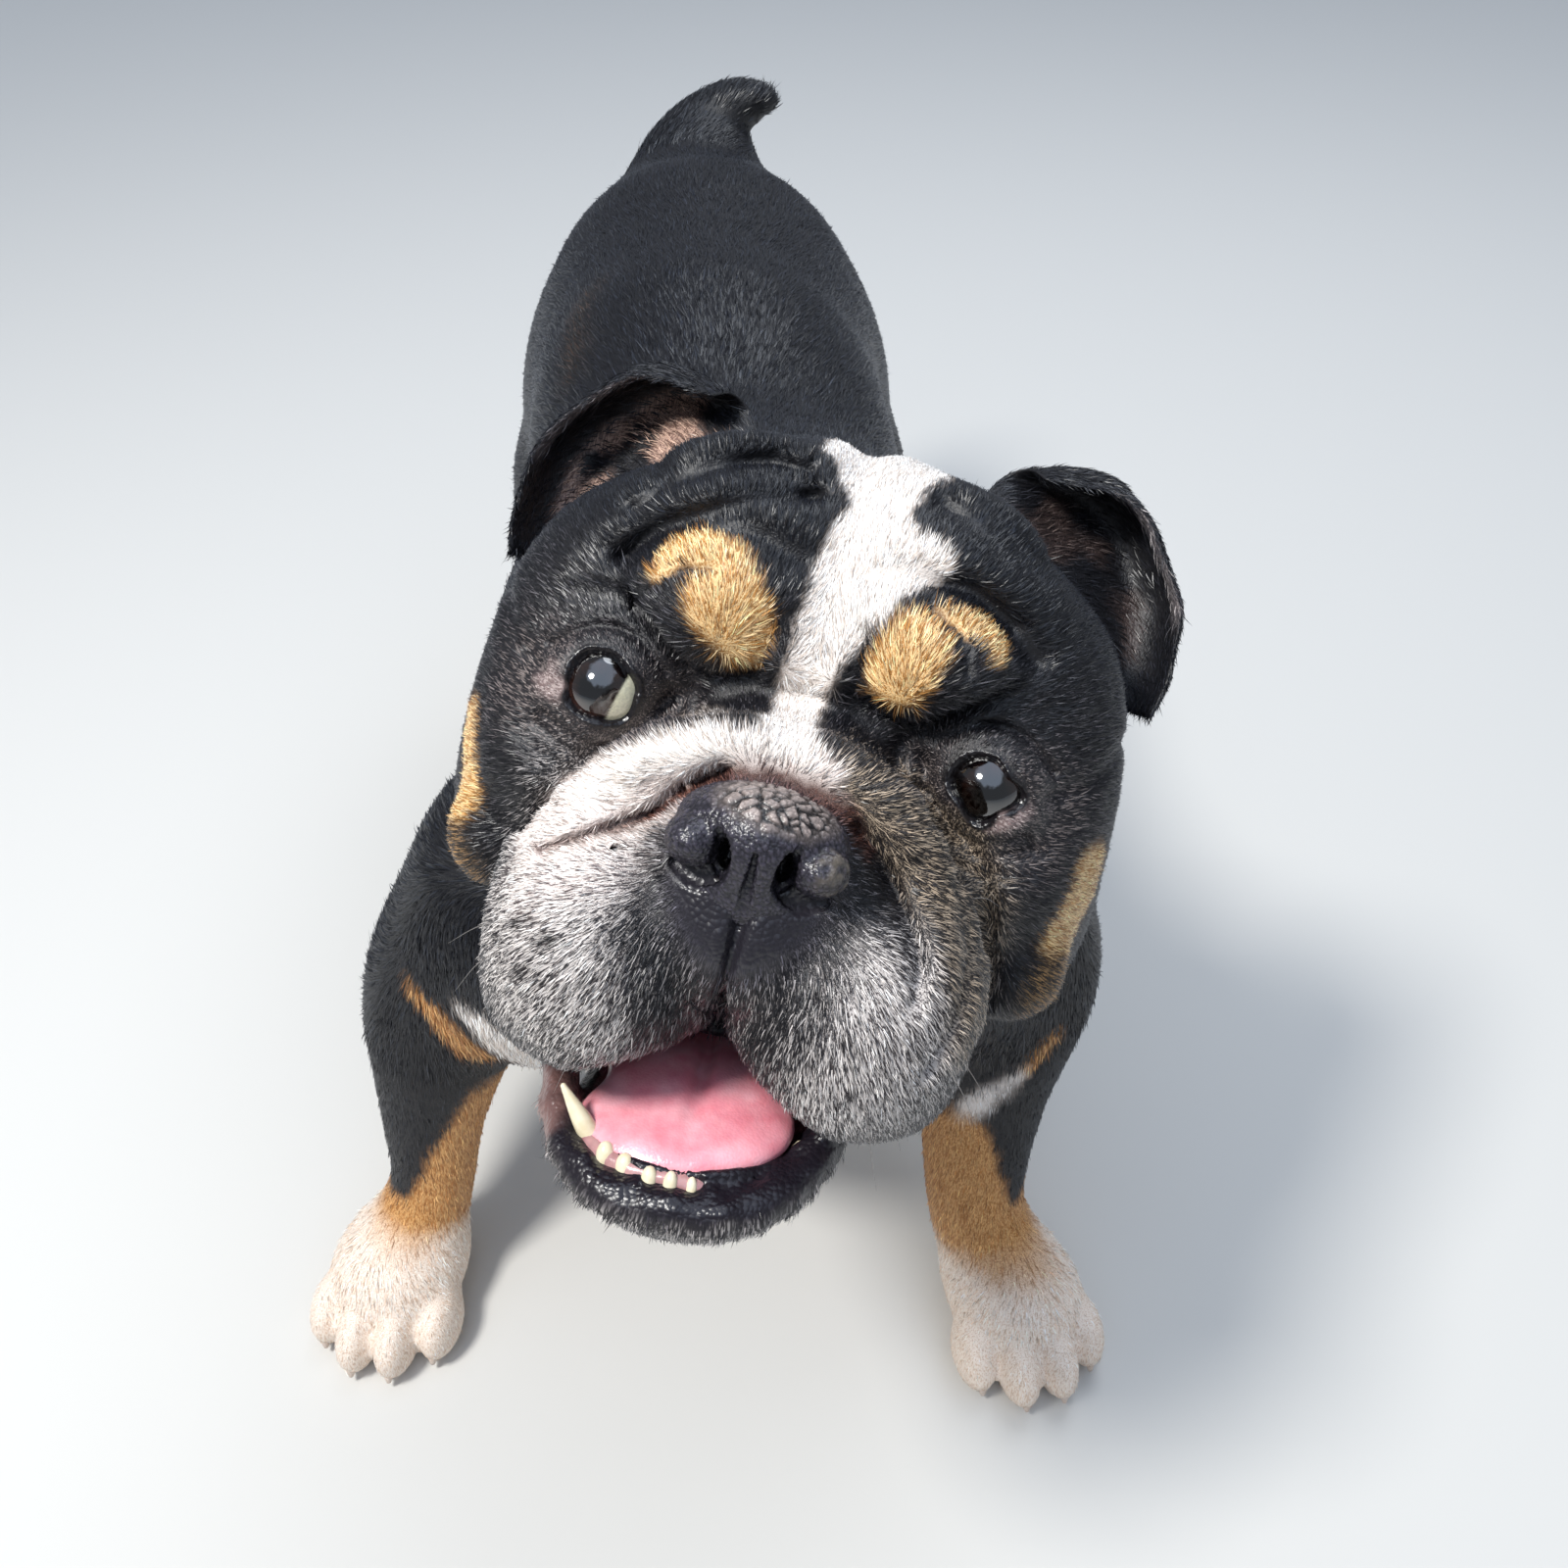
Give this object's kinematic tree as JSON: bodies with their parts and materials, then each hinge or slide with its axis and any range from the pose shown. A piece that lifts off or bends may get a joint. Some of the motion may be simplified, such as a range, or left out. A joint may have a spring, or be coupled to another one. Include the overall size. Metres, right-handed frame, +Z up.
{
  "type": "english bulldog",
  "caption": "Life-size still model of a standing English bulldog looking up with its head tipped and its mouth open.",
  "frame": {"origin": "on the floor, under the middle of the dog's box", "axes": "+Z up, +Y from the dog's chest towards its tail, +X towards the dog's left"},
  "size_m": [0.3483, 0.6833, 0.4287],
  "materials": {
    "black_coat": "short smooth fur, black with a blue-grey sheen",
    "face_coat": "short fur, black with white blaze, tan spots and a grizzled grey muzzle",
    "leg_coat": "short fur, black above, tan below and white on the paws",
    "ear_leather": "thin skin with short dark fur outside and pale fur inside",
    "eye": "wet dark brown",
    "nose_leather": "pebbled, dark grey",
    "tongue": "wet pink",
    "tooth": "ivory enamel in wet pink gum"
  },
  "bodies": {
    "root": {"torso": "black_coat", "neck": "black_coat", "tail": "black_coat", "head": "face_coat", "lower_jaw": "face_coat", "leg_front_left": "leg_coat", "leg_front_right": "leg_coat", "leg_hind_left": "leg_coat", "leg_hind_right": "leg_coat", "ear_left": "ear_leather", "ear_right": "ear_leather", "eye_left": "eye", "eye_right": "eye", "nose": "nose_leather", "tongue": "tongue", "teeth_lower": "tooth"}
  },
  "joints": []
}
